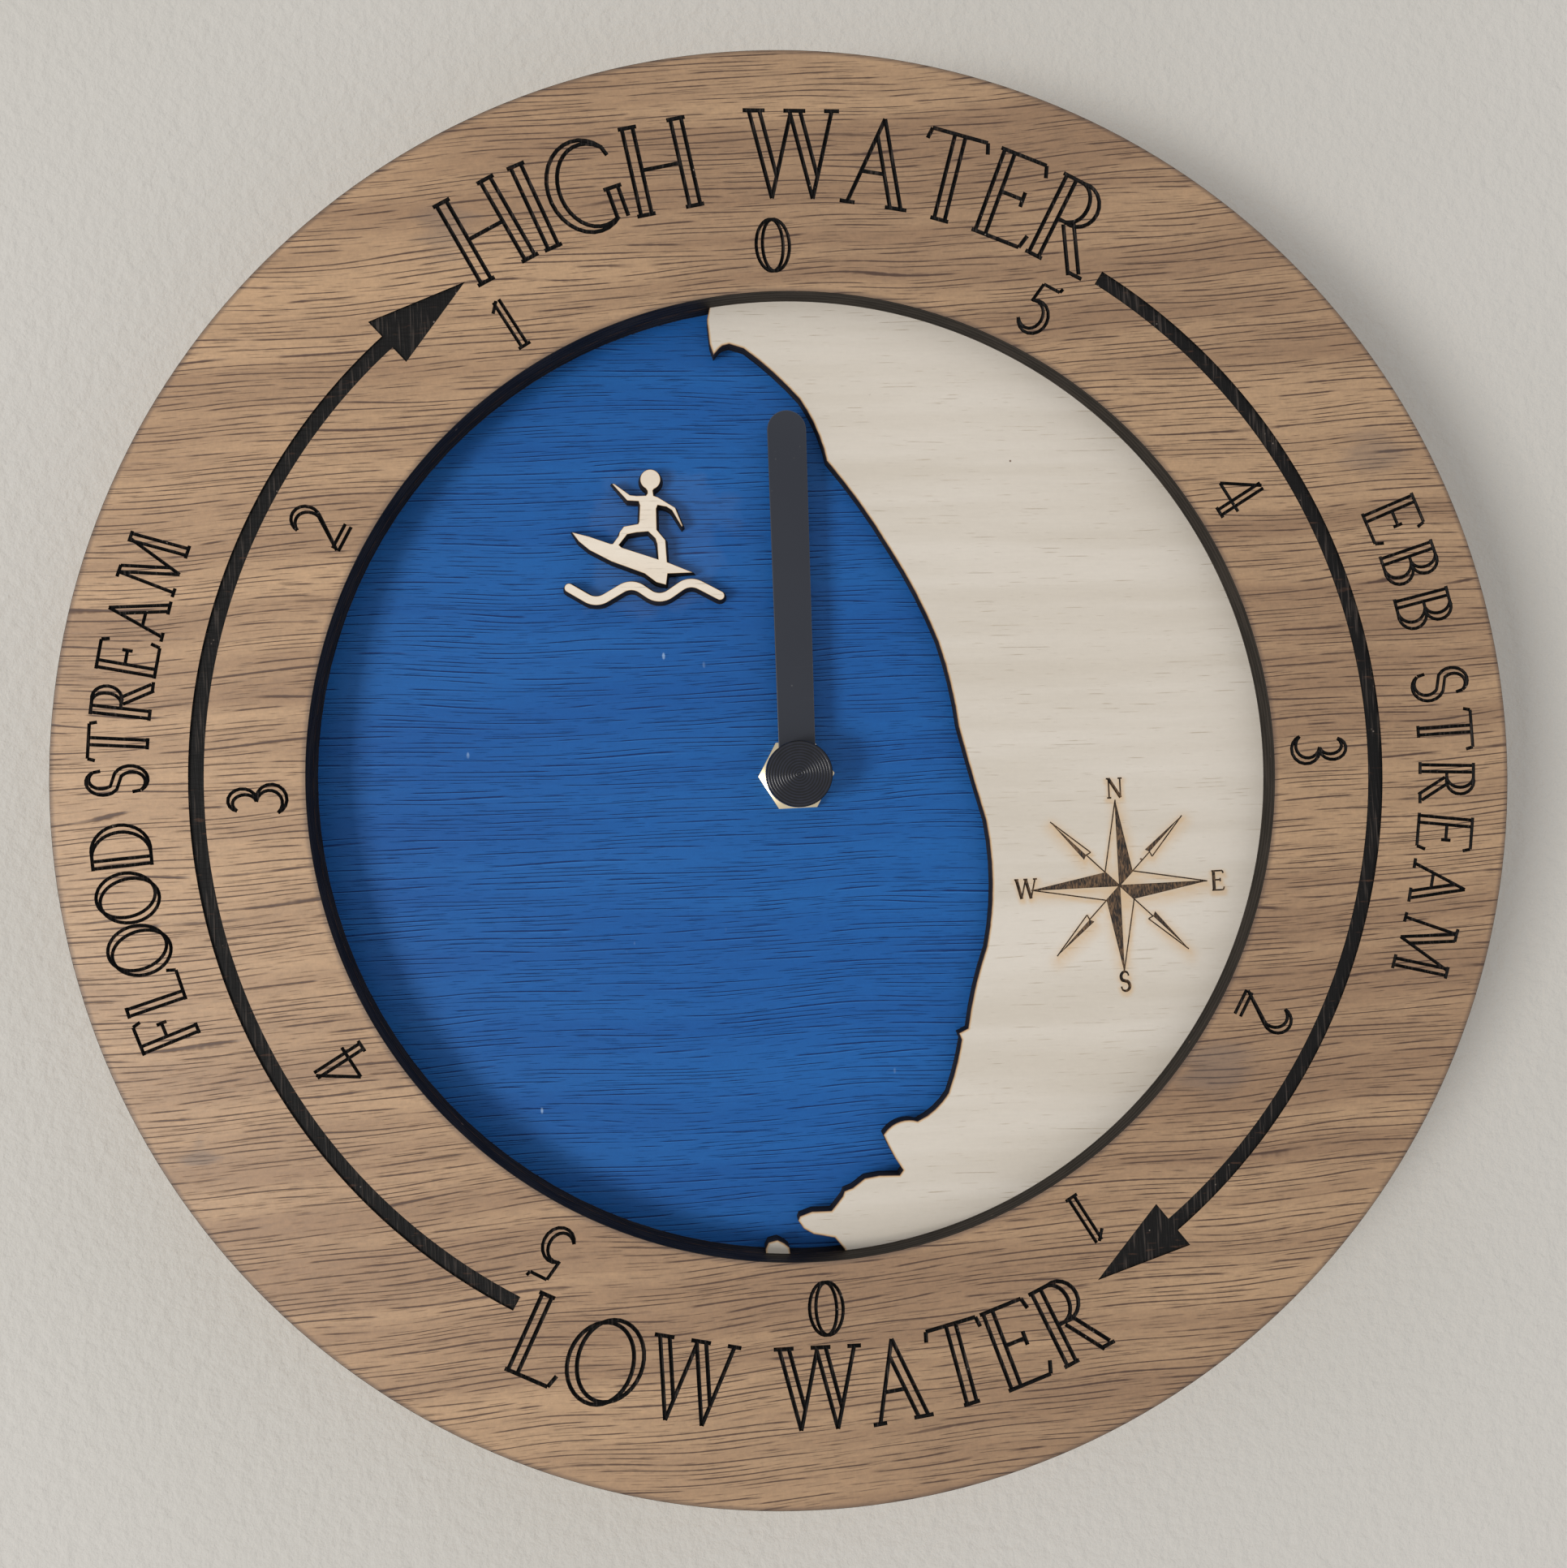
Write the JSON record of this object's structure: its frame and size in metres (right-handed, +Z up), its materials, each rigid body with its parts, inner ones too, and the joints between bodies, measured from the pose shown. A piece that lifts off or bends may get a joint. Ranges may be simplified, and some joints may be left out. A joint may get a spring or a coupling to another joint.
{
  "type": "wall clock with one hand",
  "caption": "Round wooden wall dial with a wide engraved ring over a cut coastline and blue sea, one black hand, and a battery quartz movement with its gear train behind.",
  "frame": {"origin": "on the hand's axis in the flat back of the movement case, where the clock meets the wall", "axes": "+Z up, -Y out of the dial towards the viewer, +X to the viewer's right"},
  "size_m": [0.28, 0.0326, 0.28],
  "materials": {
    "oak_veneer": "open grained oak veneer, thin clear finish, charred black edges",
    "birch_ply": "pale bare birch ply, charred black edges",
    "blue_painted_ply": "blue stain paint over ply, grain showing through",
    "black_enamel": "satin black enamel",
    "black_plastic": "black moulded or turned plastic",
    "brass": "plain turned brass",
    "black_rubber": "soft black rubber",
    "zinc_plated_steel": "zinc plated sheet steel",
    "black_case_plastic": "black moulded plastic, fine spark texture",
    "pale_plastic": "natural acetal",
    "stator_steel": "stamped soft iron",
    "copper_wire": "enamelled copper wire",
    "circuit_laminate": "brown paper laminate",
    "nickel_can": "nickel plated can",
    "nickel_strip": "nickel plated spring strip",
    "battery_jacket": "printed film jacket, plain"
  },
  "bodies": {
    "root": {"face_ring": "oak_veneer", "coast_layer": "birch_ply", "sea_disc": "blue_painted_ply", "surfer": "birch_ply", "wave_strip": "birch_ply", "fixing_nut": "brass", "threaded_bush": "brass", "rubber_washer": "black_rubber", "hanger_plate": "zinc_plated_steel", "case_front": "black_case_plastic", "case_rear": "black_case_plastic", "middle_plate": "pale_plastic", "stator": "stator_steel", "coil_bobbin": "pale_plastic", "coil_winding": "copper_wire", "circuit_board": "circuit_laminate", "chip": "black_plastic", "crystal": "nickel_can", "positive_contact": "nickel_strip", "negative_contact": "nickel_strip"},
    "hand_and_tube": {"hand": "black_enamel", "hub_cap": "black_plastic", "tide_wheel": "pale_plastic"},
    "motion_wheel": {"motion_wheel": "pale_plastic"},
    "minute_arbor": {"minute_arbor": "pale_plastic"},
    "setting_knob": {"setting_knob": "black_plastic", "setting_pinion": "pale_plastic"},
    "centre_wheel": {"centre_wheel": "pale_plastic"},
    "third_wheel": {"third_wheel": "pale_plastic"},
    "rotor": {"rotor": "pale_plastic"},
    "battery": {"battery_cell": "battery_jacket"}
  },
  "joints": [
    {"name": "hand_turn", "type": "hinge", "parent": "root", "child": "hand_and_tube", "pos_m": [0, -0.02, 0], "axis": [0, -1, 0], "continuous": true},
    {"name": "motion_wheel_turn", "type": "hinge", "parent": "root", "child": "motion_wheel", "pos_m": [0.0048, -0.0125, 0.00831], "axis": [0, -1, 0], "continuous": true},
    {"name": "minute_arbor_turn", "type": "hinge", "parent": "root", "child": "minute_arbor", "pos_m": [0, -0.014, 0], "axis": [0, -1, 0], "continuous": true},
    {"name": "setting_knob_turn", "type": "hinge", "parent": "root", "child": "setting_knob", "pos_m": [0.0096, -0.006, 0.01663], "axis": [0, -1, 0], "continuous": true},
    {"name": "third_wheel_turn", "type": "hinge", "parent": "root", "child": "third_wheel", "pos_m": [0.00918, -0.008, 0], "axis": [0, -1, 0], "continuous": true},
    {"name": "rotor_turn", "type": "hinge", "parent": "root", "child": "rotor", "pos_m": [0.01452, -0.005, 0.00683], "axis": [0, -1, 0], "continuous": true},
    {"name": "centre_wheel_turn", "type": "hinge", "parent": "root", "child": "centre_wheel", "pos_m": [0, -0.011, 0], "axis": [0, -1, 0], "continuous": true},
    {"name": "battery_slide", "type": "slide", "parent": "root", "child": "battery", "axis": [0, 1, 0], "range_m": [0, 0.018]}
  ],
  "couplings": [
    {"joint": "motion_wheel_turn", "follows": "hand_turn", "ratio": -4},
    {"joint": "minute_arbor_turn", "follows": "hand_turn", "ratio": 12},
    {"joint": "setting_knob_turn", "follows": "hand_turn", "ratio": 12},
    {"joint": "rotor_turn", "follows": "third_wheel_turn", "ratio": -7.5},
    {"joint": "centre_wheel_turn", "follows": "third_wheel_turn", "ratio": -0.125}
  ]
}
